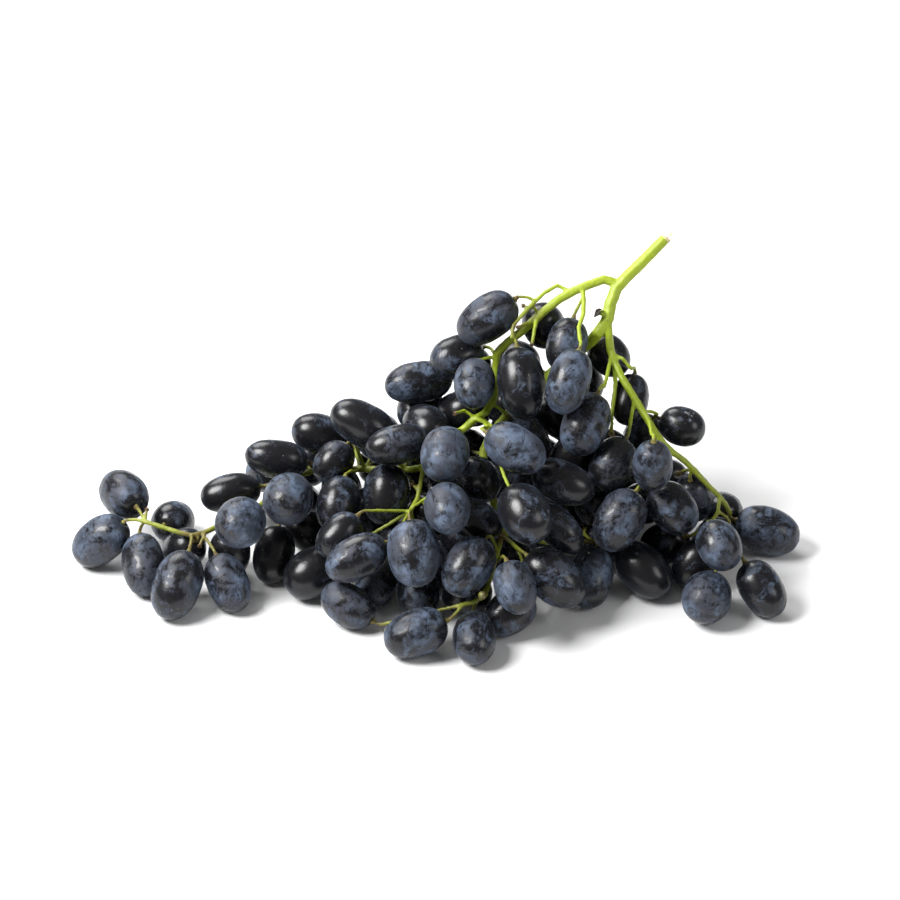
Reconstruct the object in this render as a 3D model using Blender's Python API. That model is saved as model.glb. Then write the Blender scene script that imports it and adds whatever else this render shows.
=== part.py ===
"""A bunch of dark, oval table grapes lying on its side on a table.

Units in the tables are millimetres and degrees, and the objects are built in metres, +Z up.
The origin is on the table, under the middle of the bunch.

Places are given as an eye sees them that stands in front of the bunch and looks SIGHT_ANGLE down:
  across  to the right, along +X
  sight   upwards across the line of sight, which rises up and away from the eye
  height  the real height above the table
The place in depth, Y, follows from these. A berry's turn and lean say where its stem end points:
turn is counted anticlockwise from across, and lean is positive towards the eye.

The berries are set out at rough places, and settle() then moves them apart until they only just
miss each other, the table and the stem, as they lie in a real bunch.
"""

import math

import bmesh
import bpy
import numpy as np
from mathutils import Vector

MM = 0.001
SIGHT_ANGLE = math.radians(35.0)
GAP = 0.45  # between neighbouring pieces
MOST_NODES = 60
SHARP_ANGLE = math.radians(60.0)

# The eye's own axes, as unit vectors of the model.
ACROSS = np.array([1.0, 0.0, 0.0])
UPWARDS = np.array([0.0, math.sin(SIGHT_ANGLE), math.cos(SIGHT_ANGLE)])
TOWARDS = np.array([0.0, -math.cos(SIGHT_ANGLE), math.sin(SIGHT_ANGLE)])
EYE = np.array([ACROSS, UPWARDS, TOWARDS])

# Berries on the outside, by the part of the bunch they hang in:
# across, sight, height, turn, lean, width, length. A height of 0 means that it lies on the table.
OUTER = {
    "tail": [
        (-118, -16, 20, -45, 55, 17, 23),
        (-125, -34, 0, 38, 25, 17, 24),
        (-111, -41.5, 0, 97, -27, 16, 24.5),
        (-99.5, -47.5, 0, 71, -12, 18, 26.5),
        (-80, -45.5, 0, 113, -12, 15.5, 22.5),
    ],
    "left": [
        (-79.5, -15.5, 16, 12, -10, 14.5, 22.5),
        (-76, -26.5, 27, 50, -65, 18.5, 22.5),
        (-58, -18, 30, 60, -70, 19, 23),
        (-62, -2.5, 30, -8, -10, 14.5, 23.5),
        (-47.5, 4.5, 34, -15, -10, 15.5, 21),
        (-32.5, 7.5, 42, -28, -5, 16.5, 25),
        (-38.5, -19, 27, 75, -20, 16, 21),
        (-40, -31.5, 22, 47, -10, 14.5, 19.5),
        (-51.5, -43, 0, 35, -10, 18, 22),
        (-67, -38, 0, 80, -15, 15.5, 22),
    ],
    "front": [
        (-19, 2, 47, 13, -10, 15, 23.5),
        (-1.7, -2, 55, 80, -50, 18, 23),
        (-1.3, -21, 43, 100, -55, 17, 22),
        (-22.5, -17.5, 30, 85, -10, 17.5, 22.5),
        (-33, -38.5, 24, 27, -10, 16, 24.5),
        (-14, -37, 28, 97, -15, 19.5, 25),
        (6.5, -42, 26, 57, -15, 18, 24),
        (-36.5, -55.5, 0, -33, 10, 15.5, 21.5),
        (-11.5, -61.5, 0, 22, -5, 17.5, 24),
        (8, -67, 0, 95, -45, 16, 22),
        (23.5, -49.5, 24, 108, -20, 15.5, 20.5),
        (22, -58, 0, 40, -30, 16.5, 21),
        (37, -46, 16, 140, 0, 18.5, 26),
        (51, -46, 0, 80, -20, 16, 23.5),
        (22, -1, 52, 150, -10, 17, 24),
        (40.5, -12, 43, 158, -5, 16, 24),
        (27, -23, 43, 120, -30, 19, 24),
        (39, -29, 30, 133, 0, 14, 21.5),
    ],
    "top": [
        (15, 44.5, 83, 35, 5, 17, 24.5),
        (2.5, 34, 68, 20, -20, 16, 21),
        (-9.5, 24, 57, 8, -10, 15.5, 25),
        (9, 24, 69, 85, -50, 15.5, 21.5),
        (25.5, 24, 70, 97, -10, 17.5, 27),
        (42, 38, 76, 75, -10, 15, 20.5),
        (43.3, 24, 71, 72, -5, 16, 24.5),
        (49, 9, 57, 68, -10, 17.5, 24),
    ],
    "right": [
        (64.5, 18.5, 53, 80, -20, 14, 19.5),
        (84, 8.5, 45, 160, -20, 14.5, 17.5),
        (57.5, -5.3, 44, 62, -15, 16.5, 21.5),
        (72, -7, 44, 88, 28, 15, 19.5),
        (61, -25, 30, 60, -5, 18, 24),
        (80.5, -21, 30, 132, -15, 17, 21.5),
        (88.5, -16.5, 24, 100, 50, 15, 20.5),
        (114.7, -29, 0, 162, 0, 17.5, 24),
        (97, -36, 19, 120, -40, 16.5, 20.5),
        (93, -52.5, 0, 70, -65, 18.5, 23),
        (112.5, -50, 0, 122, -8, 16, 22.5),
        (71.5, -43, 0, 135, -10, 17.5, 24),
    ],
}

# Berries behind those: across, sight, height, width, length. Their stem ends face the stem.
INNER = [
    (33.5, 43, 73, 16, 21),
    (-5, 7, 46, 16, 20),
    (-99, -28, 0, 15.5, 20),
    (-89.5, -34, 0, 15, 19.5),
    (-77.5, -33, 0, 15.5, 20),
    (-66.5, -8.5, 15, 14.5, 20),
    (-51, -30, 0, 15, 20),
    (-43.5, -14, 16, 14.5, 19.5),
    (-25, 5, 32, 15, 20),
    (-24, -52, 0, 15.5, 19.5),
    (-13, -48.5, 0, 15.5, 20),
    (-34, -6, 29, 14, 17),
    (11, -9.5, 43, 15.5, 20.5),
    (10, -26, 32, 15.5, 21),
    (29, 4, 45, 15, 20.5),
    (42, -4, 34, 15.5, 21),
    (51.5, 28.5, 59, 14, 18),
    (69, 5, 36, 14.5, 19.5),
    (56, 2.5, 36, 14.5, 19),
    (80, -12, 20, 14.5, 18.5),
    (88, -29, 12, 14.5, 19),
    (98, -22.5, 0, 15, 20),
    (83, -33, 0, 15.5, 20),
    (37, 11, 46, 14.5, 19.5),
    (-11, 14, 41, 15.5, 21),
    (8, 26, 52, 15.5, 21),
    (22, 28, 55, 15, 20.5),
    (45, 26, 56, 14.5, 20),
    (47, 14, 42, 15.5, 20.5),
    (9, 15, 36, 15.5, 21),
    (29, 20, 42, 15, 20.5),
    (-6, 1, 28, 15.5, 21),
    (15, -4, 0, 15.5, 21),
    (34, -3, 20, 16, 21),
    (50, -3, 20, 15.5, 20.5),
    (60, -15, 0, 15.5, 21),
    (-25, -5, 17, 15.5, 20.5),
    (0, -18, 0, 16, 21),
    (22, 7, 28, 15.5, 21),
    (40, -15, 24, 15.5, 20.5),
    (20, -30, 0, 15.5, 21),
    (0, -34, 11, 15.5, 21),
    (-20, -33, 0, 15.5, 20.5),
    (38, -29, 0, 15.5, 20.5),
    (57, -27, 0, 15.5, 20.5),
    (4, -51.5, 0, 16, 20),
    (-28, -23, 13, 15, 20),
    (49, -24, 14, 15.5, 20.5),
    (72, -30, 11, 15.5, 20.5),
    (6, 3, 25, 16, 21),
    (-12, -10, 18, 15, 20),
    (62, -37, 0, 15.5, 20),
    (89, -39, 0, 15, 19.5),
    (-50, -5, 16, 15, 20),
    (25, -11, 28, 15.5, 20.5),
    (48, -18, 24, 15, 20),
    (22, -39, 12, 15, 19.5),
    (-40, 3, 26, 14.5, 19.5),
    (-50, -19, 0, 14.5, 19.5),
    (-1, -9, 30, 15, 20),
    (-6, -27, 16, 15, 20),
    (2, 18, 48, 15, 20),
    (17, 18, 46, 15, 20),
    (-5, -41, 10, 15, 19.5),
]


# The stem: points of (across, sight, height), then the thickness at its first and its last point.
# The first is the stalk that was cut from the vine, and each later one starts on an earlier one.
BRANCHES = [
    # The cut stalk, down to its first fork.
    (
        [
            (77.8, 76.5, 105), (69, 67.5, 98), (61.2, 59.9, 92), (58.9, 55.7, 89), (57.5, 51, 85.5),
            (56.8, 46.8, 82),
        ],
        4.2,
        5.0,
    ),
    # The middle branch, which runs on under the berries to the front.
    (
        [
            (56.8, 46.8, 82), (54.3, 43.1, 79), (50, 38.5, 72), (42, 32, 63), (32, 24, 56),
            (24, 16.5, 52.5), (19.8, 11.5, 49.5), (14, 4, 43), (11.5, -4, 36), (14, -11, 31),
            (16, -19.5, 27.5), (18.6, -29.5, 25), (17.3, -35, 23.5), (16.7, -38, 22.5), (14, -47, 18),
            (13, -52, 16), (8, -55, 15.5), (2.6, -56.3, 15),
        ],
        4.6,
        1.7,
    ),
    # The long branch to the tail at the left.
    (
        [
            (61.2, 59.9, 92), (58.8, 61.5, 93), (55.6, 61.6, 93.5), (51.9, 60.4, 93), (44.4, 57.3, 91),
            (37.9, 53.4, 88), (30.9, 47.3, 83), (24.5, 41.6, 78.5), (18.8, 37.5, 74), (16.9, 34.7, 71),
            (16.5, 28, 64), (16, 21, 59), (14.8, 15.3, 56), (9.4, 11.5, 54), (3.5, 6.5, 49), (-3, 0, 42),
            (-9.6, -6.5, 36), (-14.9, -7, 33), (-25, -7, 28.5), (-38.4, -6.8, 26.5), (-48.4, -7.2, 25),
            (-60, -12, 21.5), (-68, -19.5, 20), (-78, -24.5, 19), (-85.8, -28.4, 18.5), (-91.6, -31, 18.5),
            (-98.6, -29.6, 19.5), (-106.5, -27, 20.5), (-110.2, -25.9, 21),
        ],
        3.4,
        1.7,
    ),
    # The branch down the right side.
    (
        [
            (56.8, 46.8, 82), (57.7, 39.4, 75.5), (58.4, 34.7, 70), (61.2, 27.7, 66), (66.9, 18.5, 60),
            (72.3, 9.3, 54), (77.7, 1.7, 47), (80.2, -0.6, 44), (86.1, -5, 37.5), (90.3, -9.6, 32.5),
            (94.5, -14.2, 28), (97.5, -16.8, 25), (100, -20.2, 20.5), (101.5, -23, 16),
        ],
        3.2,
        1.7,
    ),
    # Side shoots of the long branch, near the top.
    ([(48, 58.6, 92), (48.4, 50.1, 88), (47, 46.8, 86), (46.4, 43.1, 84.5), (47, 39.4, 82.5)], 1.8, 1.5),
    (
        [
            (43.5, 57, 90.8), (40.7, 59.6, 92.5), (37, 58.8, 92), (33.2, 56, 91), (28.1, 51, 88),
            (24.9, 47.4, 86.5), (21.7, 43, 83.5), (22.2, 40.2, 82),
        ],
        1.6,
        1.4,
    ),
    # Side shoots of the right branch.
    ([(58.4, 34.7, 70), (59.6, 28.6, 64), (59.8, 23, 59), (58.6, 13.7, 52.5)], 1.8, 1.4),
    ([(58.4, 34.7, 70), (57, 28, 68), (55.6, 22.5, 66.5)], 1.6, 1.4),
    ([(58.4, 34.7, 70), (61.2, 33.4, 70), (63.7, 32.3, 69), (65.4, 29.5, 66)], 1.5, 1.3),
    ([(66.9, 18.5, 60), (65.6, 12.5, 55.5), (64.8, 8, 51.5)], 1.6, 1.4),
    ([(69.6, 14, 57), (72.2, 9.5, 56.5), (72.8, 5.6, 55.5)], 1.5, 1.4),
    ([(69.6, 14, 57), (73.2, 13.9, 53), (75, 13, 49)], 1.4, 1.2),
    ([(97.5, -16.8, 25), (97, -22, 21.5), (94.8, -25.6, 21)], 1.6, 1.4),
    ([(80.2, -0.6, 44), (77, -4.5, 38), (73, -10, 33.5), (68.5, -13.5, 33)], 2.0, 1.5),
    # Side shoots low down in the middle.
    ([(9.4, 11.5, 54), (12.3, 10.4, 56), (13.6, 8.2, 57.5)], 1.8, 1.6),
    ([(-9.6, -6.5, 36), (-10.9, -13.6, 32), (-11.9, -17.8, 29.5), (-14.3, -22, 28)], 1.8, 1.7),
    ([(18.6, -30.5, 24.7), (21.9, -33.3, 23.5), (24.5, -35.7, 23)], 1.7, 1.6),
    ([(18.6, -29.5, 25), (28, -32, 19), (40, -34, 16), (52, -33, 16), (62, -33, 16)], 2.0, 1.5),
]

# Bare bits of stalk that a berry has come away from: points as above, then the thickness.
STUBS = [
    ([(29.5, 46, 82), (27.2, 45.6, 84), (24.4, 44.3, 85)], 1.3),
    ([(31.5, 47.8, 83.5), (30.4, 43.1, 83), (29.6, 38, 80)], 1.5),
    ([(28.1, 51, 88), (26.4, 52.2, 89)], 1.4),
    ([(9.4, 11.5, 54), (5.6, 14.2, 56.5), (1.8, 13.2, 58)], 1.4),
    ([(-45, -7, 25.5), (-45.2, -4.2, 27)], 1.3),
    ([(-88.3, -29.7, 18.5), (-90.5, -34.8, 18.5)], 1.3),
    ([(-110.2, -25.9, 21), (-109.6, -21.5, 22.5)], 1.2),
    ([(-11.2, -15, 31.3), (-13.5, -12.3, 32.5)], 1.2),
    ([(57.2, 49, 83.8), (54, 49.6, 86)], 2.2),
]


def place(point):
    """The model's x, y, z of a place given as across, sight, height."""
    across, sight, height = point
    depth = (sight - height * math.cos(SIGHT_ANGLE)) / math.sin(SIGHT_ANGLE)
    return np.array([across, depth, height])


def direction(turn, lean):
    turn, lean = math.radians(turn), math.radians(lean)
    flat = math.cos(turn) * ACROSS + math.sin(turn) * UPWARDS
    return math.cos(lean) * flat + math.sin(lean) * TOWARDS


def unit(vector):
    return vector / np.maximum(np.linalg.norm(vector, axis=-1, keepdims=True), 1e-9)


# ---------------------------------------------------------------- shape of a berry

BLUNT = 2.2  # an ellipse has 2, and a grape is a little blunter
BALLS = 7  # balls along a berry that stand for it while it settles
SIDES = 8
RINGS = 6
TOUCH_WIDTH = 4.8  # of the bridge where two hidden berries press against each other
TOUCH_DEPTH = 1.8  # how far it reaches into each of them


def outline(width, length, angle):
    """Distance along the axis and from it, of the outline at an angle from the stem end."""
    along = np.sign(np.cos(angle)) * np.abs(np.cos(angle)) ** (2 / BLUNT) * length / 2
    out = np.abs(np.sin(angle)) ** (2 / BLUNT) * width / 2
    return along, out


def balls_of(width, length):
    """Where the balls that just fit inside a berry sit along its axis, and their radii."""
    reach = length / 2 - 0.36 * width
    spots = np.linspace(-reach, reach, BALLS)
    along, out = outline(width, length, np.linspace(0, math.pi, 181))
    radii = np.hypot(along[None, :] - spots[:, None], out[None, :]).min(axis=1)
    return spots, radii


def rest_height(axis, width, length):
    """How high the middle of a berry is when it lies on the table."""
    spots, radii = balls_of(width, length)
    return float(np.max(radii - spots * axis[2]))


# ---------------------------------------------------------------- the stem's fixed branches


def sampled(points, first, last, step):
    """Points every step along a smooth curve through the given ones, with their thickness."""
    points = np.array(points, float)
    ends = np.vstack([2 * points[0] - points[1], points, 2 * points[-1] - points[-2]])
    dense = []
    for k in range(len(points) - 1):
        a, b, c, d = ends[k : k + 4]
        for t in np.linspace(0, 1, 12, endpoint=False):
            square = (2 * a - 5 * b + 4 * c - d) * t**2
            cube = (3 * b - a - 3 * c + d) * t**3
            dense.append(0.5 * (2 * b + (c - a) * t + square + cube))
    dense.append(points[-1])
    dense = np.array(dense)
    run = np.concatenate([[0], np.cumsum(np.linalg.norm(np.diff(dense, axis=0), axis=1))])
    count = max(2, int(round(run[-1] / step)) + 1)
    where = np.linspace(0, run[-1], count)
    even = np.stack([np.interp(where, run, dense[:, k]) for k in range(3)], axis=1)
    return even, np.interp(where, [0, run[-1]], [first, last])


def skeleton():
    routes = []
    for points, first, last in BRANCHES:
        routes.append(([place(p) for p in points], first, last))
    for points, thick in STUBS:
        routes.append(([place(p) for p in points], thick, thick * 0.85))
    return routes


# ---------------------------------------------------------------- settling


class Bunch:
    """All berries and the thin stalks that hold them, as balls."""

    def __init__(self, routes):
        self.names, rows = [], []
        for part, berries in OUTER.items():
            for number, (u, v, height, turn, lean, width, length) in enumerate(berries, 1):
                self.names.append(f"berry_{part}_{number:02d}")
                rows.append((u, v, height, direction(turn, lean), width, length))
        self.outer = len(rows)
        stem = [sampled(points, first, last, 2.0)[0] for points, first, last in routes[: len(BRANCHES)]]
        self.stem_points = np.vstack(stem)
        for u, v, height, width, length in INNER:
            middle = place((u, v, height or width / 2))
            away = self.stem_points - middle
            nearest = away[np.argmin(np.linalg.norm(away, axis=1))]
            axis = unit(nearest + np.array([0, 0, 3.0]))
            if height == 0 and axis[2] > 0.6:  # one on the table leans rather than stands
                axis = unit(axis * [1, 1, 0.5])
            rows.append((u, v, height, axis, width, length))
            self.names.append("")
        self.count = len(rows)
        self.width = np.array([row[4] for row in rows])
        self.length = np.array([row[5] for row in rows])
        self.axis = np.array([row[3] for row in rows])
        self.lies = np.array([row[2] == 0 for row in rows])
        self.rest = np.array([rest_height(a, w, n) for a, w, n in zip(self.axis, self.width, self.length)])
        self.at = np.array([place((row[0], row[1], row[2] or rest)) for row, rest in zip(rows, self.rest)])
        self.wanted = self.at.copy()
        shapes = [balls_of(w, n) for w, n in zip(self.width, self.length)]
        self.offset = np.stack([spots[:, None] * axis for (spots, _), axis in zip(shapes, self.axis)])
        self.radius = np.stack([radii for _, radii in shapes])
        # How easily a berry gives way, across, upwards and towards the eye.
        give = np.tile([0.3, 0.3, 1.0], (self.count, 1))
        give[self.outer :] = [0.8, 0.8, 1.0]
        self.give = np.einsum("ka,nk,kb->nab", EYE, give, EYE)
        # One that lies on the table slides on it.
        self.give[self.lies] = np.diag([0.8, 0.9, 0.0])
        self.give[: self.outer][self.lies[: self.outer]] = np.diag([0.25, 0.25, 0.0])
        # The branches are balls that never move.
        fixed, thick = zip(*(sampled(points, first, last, 1.0) for points, first, last in routes))
        self.fixed = np.vstack(fixed)
        self.fixed_radius = np.concatenate(thick) / 2
        self.stalks = None

    def tip(self):
        """Where the stem ends are."""
        return self.at + self.axis * (self.length / 2)[:, None]

    def step(self, ease, gap, hold):
        balls = (self.at[:, None] + self.offset).reshape(-1, 3)
        owner = np.repeat(np.arange(self.count), BALLS)
        radius = self.radius.reshape(-1)
        move = np.zeros_like(self.at)
        # Berry against berry: only the deepest pair of balls counts.
        near = np.linalg.norm(self.at[:, None] - self.at[None], axis=2)
        first, second = np.nonzero(np.triu(near < (self.length[:, None] + self.length[None]) / 2 + 2, 1))
        a = balls.reshape(self.count, BALLS, 3)[first]
        b = balls.reshape(self.count, BALLS, 3)[second]
        between = b[:, None, :, :] - a[:, :, None, :]
        far = np.linalg.norm(between, axis=3)
        deep = self.radius[first][:, :, None] + self.radius[second][:, None, :] + gap - far
        flat = deep.reshape(len(first), -1)
        best = flat.argmax(axis=1)
        amount = flat[np.arange(len(first)), best]
        normal = unit(between.reshape(len(first), -1, 3)[np.arange(len(first)), best])
        hit = amount > 0
        first, second, amount, normal = first[hit], second[hit], amount[hit], normal[hit]
        stiff = np.einsum("na,nab,nb->n", normal, self.give[first] + self.give[second], normal) + 1e-3
        push = (amount / stiff)[:, None] * normal
        np.add.at(move, first, -np.einsum("nab,nb->na", self.give[first], push))
        np.add.at(move, second, np.einsum("nab,nb->na", self.give[second], push))
        worst = amount.max(initial=0)
        # Berry against the stem, and against the stalks of the others.
        posts, posts_radius, posts_owner = self.fixed, self.fixed_radius, np.full(len(self.fixed), -1)
        if self.stalks is not None:
            moving = self.stalks.shape[0] * self.stalks.shape[1]
            posts = np.vstack([posts, self.stalks.reshape(-1, 3)])
            posts_radius = np.concatenate([posts_radius, np.full(moving, self.stalk_radius)])
            # A stalk may touch its own berry only where it leaves it.
            own = np.repeat(np.arange(self.count)[:, None], self.stalks.shape[1], axis=1)
            own[:, 3:] = self.count
            posts_owner = np.concatenate([posts_owner, own.reshape(-1)])
        between = posts[None] - balls[:, None]
        far = np.linalg.norm(between, axis=2)
        deep = radius[:, None] + posts_radius[None] + gap - far
        deep[owner[:, None] == posts_owner[None]] = -1
        ball, post = np.nonzero(deep > 0)
        if len(ball):
            amount = deep[ball, post]
            normal = unit(between[ball, post])
            who = owner[ball]
            # The deepest touch on each berry moves it.
            order = np.lexsort((-amount, who))
            lead = order[np.unique(who[order], return_index=True)[1]]
            touched = who[lead]
            stiff = np.einsum("na,nab,nb->n", normal[lead], self.give[touched], normal[lead]) + 0.05
            push = (amount[lead] / stiff)[:, None] * normal[lead]
            share = np.where(posts_owner[post[lead]] < 0, 1.0, 0.4)[:, None]
            move[touched] -= share * np.einsum("nab,nb->na", self.give[touched], push)
            worst = max(worst, amount.max())
            if self.stalks is not None:
                loose = post >= len(self.fixed)
                shift = np.zeros((moving, 3))
                push = normal[loose] * amount[loose][:, None] * 0.5
                np.add.at(shift, post[loose] - len(self.fixed), push)
                self.stalks += shift.reshape(self.stalks.shape) * 0.7
        # Hold the berries near the places they were given.
        pull = self.wanted - self.at
        pull_eye = pull @ EYE.T * (hold * np.array([1.0, 1.0, 0.15]))
        pull_eye[self.outer :] *= 0.3
        move = move * ease + pull_eye @ EYE
        size = np.linalg.norm(move, axis=1, keepdims=True)
        self.at += move * np.minimum(1, 1.5 / np.maximum(size, 1e-9))
        # Nothing sinks into the table.
        self.at[:, 2] = np.where(self.lies, self.rest, np.maximum(self.at[:, 2], self.rest))
        if self.stalks is not None:
            self.smooth_stalks()
        return worst

    def between(self, first, second):
        """The points where two berries are nearest, the way from one to the other, and the gap."""
        a = self.at[first] + self.offset[first]
        b = self.at[second] + self.offset[second]
        way = b[None] - a[:, None]
        gap = np.linalg.norm(way, axis=2) - self.radius[first][:, None] - self.radius[second][None]
        i, j = np.unravel_index(gap.argmin(), gap.shape)
        normal = unit(way[i, j])
        start = a[i] + normal * self.radius[first][i]
        end = b[j] - normal * self.radius[second][j]
        return start, end, normal, gap[i, j]

    def is_clear(self, first, second):
        """Whether a bridge between two berries would miss every other piece."""
        start, end, _, _ = self.between(first, second)
        bridge = np.linspace(start, end, 5)
        halfway = (self.stalks[:, 1:] + self.stalks[:, :-1]) / 2
        thin = np.concatenate([self.stalks, halfway], axis=1).reshape(-1, 3)
        others = np.delete(np.arange(self.count), [first, second])
        balls = (self.at[others, None] + self.offset[others]).reshape(-1, 3)
        spots = np.vstack([self.fixed, thin, balls])
        sizes = [self.fixed_radius, np.full(len(thin), self.stalk_radius), self.radius[others].reshape(-1)]
        room = np.linalg.norm(bridge[:, None] - spots[None], axis=2) - np.concatenate(sizes)
        return room.min() > TOUCH_WIDTH / 2 + 0.1

    def choose_links(self, count):
        """Joins inner neighbours, the nearest first, until this many groups are left."""
        hidden = range(self.outer, self.count)
        pairs = [(self.between(a, b)[3], a, b) for a in hidden for b in hidden if a < b]
        group = {n: {n} for n in hidden}
        self.links = []
        for _, a, b in sorted(pairs):
            if len({id(members) for members in group.values()}) <= count:
                break
            if group[a] is not group[b] and self.is_clear(a, b):
                self.links.append((a, b))
                group[a] |= group[b]
                for n in group[b]:
                    group[n] = group[a]
        self.groups = []
        for members in group.values():
            if sorted(members) not in self.groups:
                self.groups.append(sorted(members))

    def pull_links(self):
        for first, second in self.links:
            _, _, normal, gap = self.between(first, second)
            pull = normal * max(0.0, gap - GAP) * 0.04
            self.at[first] += self.give[first] @ pull
            self.at[second] -= self.give[second] @ pull

    def start_stalks(self):
        """A thin stalk for every berry, from its stem end to the branch that it can reach most simply."""
        self.stalk_radius = 0.95
        self.roots = []
        end = self.tip() + self.axis * 0.4
        for n in range(self.count):
            aim = end[n] + self.axis[n] * 5
            away = np.linalg.norm(self.stem_points - aim, axis=1)
            self.roots.append(self.stem_points[np.argmin(away)])
        self.roots = np.array(self.roots)
        t = np.linspace(0, 1, 9)[None, :, None]
        knee = end + self.axis * np.minimum(6, 0.4 * np.linalg.norm(self.roots - end, axis=1))[:, None]
        first, second, last = (1 - t) ** 2, 2 * t * (1 - t), t**2
        self.stalks = first * end[:, None] + second * knee[:, None] + last * self.roots[:, None]

    def smooth_stalks(self):
        self.stalks[:, 0] = self.tip() + self.axis * (self.stalk_radius + GAP)
        self.stalks[:, 1] = self.stalks[:, 1] * 0.5 + 0.5 * (self.stalks[:, 0] + self.axis * 1.5)
        self.stalks[:, -1] = self.roots
        inner = self.stalks[:, 1:-1]
        middle = (self.stalks[:, :-2] + self.stalks[:, 2:]) / 2
        self.stalks[:, 1:-1] = inner + 0.25 * (middle - inner)
        low = self.stalk_radius + 0.5
        self.stalks[:, :, 2] = np.maximum(self.stalks[:, :, 2], low)


def settle(bunch, groups):
    for turn in range(170):
        bunch.step(0.35, GAP + 0.1, 0.02 if turn < 110 else 0.004)
    bunch.start_stalks()
    bunch.choose_links(groups)
    for turn in range(300):
        bunch.step(0.3, GAP + 0.1, 0.006 if turn < 140 else 0.0)
        if turn < 200:
            bunch.pull_links()
    bunch.choose_links(groups)


# ---------------------------------------------------------------- meshes


def new_material(name, colour, roughness):
    material = bpy.data.materials.new(name)
    material.use_nodes = True
    shader = material.node_tree.nodes["Principled BSDF"]
    shader.inputs["Base Color"].default_value = (*colour, 1.0)
    shader.inputs["Roughness"].default_value = roughness
    material.diffuse_color = (*colour, 1.0)
    return material


def new_object(name, mesh_maker, material):
    """An object from a function that fills a bmesh."""
    shape = bmesh.new()
    mesh_maker(shape)
    bmesh.ops.recalc_face_normals(shape, faces=shape.faces)
    mesh = bpy.data.meshes.new(name)
    shape.to_mesh(mesh)
    shape.free()
    mesh.materials.append(material)
    mesh.shade_smooth()
    mesh.set_sharp_from_angle(angle=SHARP_ANGLE)
    obj = bpy.data.objects.new(name, mesh)
    bpy.context.scene.collection.objects.link(obj)
    return obj


def berry_object(name, at, axis, width, length, material):
    def fill(shape):
        bmesh.ops.create_uvsphere(shape, u_segments=SIDES, v_segments=RINGS, radius=1.0)
        for vert in shape.verts:
            along, out = outline(width, length, math.acos(max(-1.0, min(1.0, vert.co.z))))
            round_axis = math.atan2(vert.co.y, vert.co.x)
            vert.co = (out * math.cos(round_axis) * MM, out * math.sin(round_axis) * MM, along * MM)

    obj = new_object(name, fill, material)
    obj.location = Vector(at) * MM
    obj.rotation_mode = "QUATERNION"
    obj.rotation_quaternion = Vector(axis).to_track_quat("Z", "Y")
    return obj


def tube_object(name, points, thick, sides, material):
    """A closed tube along points, with a thickness for each point."""

    def fill(shape):
        ways = unit(np.gradient(np.array(points), axis=0))
        side = unit(np.cross(ways[0], [0.3, 0.9, 0.2]))
        rings = []
        for point, way, across in zip(points, ways, thick):
            side = unit(side - way * float(side @ way))
            other = np.cross(way, side)
            angles = [2 * math.pi * k / sides for k in range(sides)]
            spots = [point + across / 2 * (math.cos(a) * side + math.sin(a) * other) for a in angles]
            rings.append([shape.verts.new(spot * MM) for spot in spots])
        for low, high in zip(rings[:-1], rings[1:]):
            for k in range(sides):
                m = (k + 1) % sides
                shape.faces.new((low[k], low[m], high[m], high[k]))
        shape.faces.new(rings[0])
        shape.faces.new(rings[-1])

    return new_object(name, fill, material)


def join(main, others, solver="EXACT"):
    """Makes one closed body of overlapping objects, and removes the others."""
    for other in others:
        union = main.modifiers.new("union", "BOOLEAN")
        union.operation = "UNION"
        union.solver = solver
        union.object = other
        bpy.context.view_layer.objects.active = main
        bpy.ops.object.modifier_apply(modifier=union.name)
        bpy.data.objects.remove(other)


def build_stem(bunch, routes, material):
    tubes = []
    for points, first, last in routes:
        spots, thick = sampled(points, first, last, 6.0)
        tubes.append(tube_object("tube", spots, thick, 6, material))
    for n in range(bunch.count):
        end = bunch.at[n] + bunch.axis[n] * (bunch.length[n] / 2 + 0.4)
        run = np.linalg.norm(np.diff(bunch.stalks[n], axis=0), axis=1).sum()
        picked = np.linspace(0, 8, int(np.clip(round(run / 3.5) + 1, 3, 9))).round().astype(int)
        spots = np.vstack([end, bunch.stalks[n][picked]])
        tubes.append(tube_object("tube", spots, np.full(len(spots), 1.4), 4, material))
    stem = tubes[0]
    stem.name = "stem"
    join(stem, tubes[1:], "MANIFOLD")  # the exact solver leaves open edges where many stalks meet
    return stem


def build_group(name, bunch, members, material):
    """Berries hidden inside the bunch, joined where they press against each other."""
    made = {}
    for n in members:
        made[n] = berry_object(name, bunch.at[n], bunch.axis[n], bunch.width[n], bunch.length[n], material)
    for obj in made.values():
        bpy.context.view_layer.update()
        obj.data.transform(obj.matrix_world)
        obj.matrix_world.identity()
    touches = []
    for first, second in bunch.links:
        if first in made and second in made:
            a, b, normal, _ = bunch.between(first, second)
            ends = np.array([a - normal * TOUCH_DEPTH, b + normal * TOUCH_DEPTH])
            touches.append(tube_object("touch", ends, [TOUCH_WIDTH] * 2, SIDES, material))
    main, *others = made.values()
    join(main, others + touches)
    main.name = name
    return main


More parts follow.
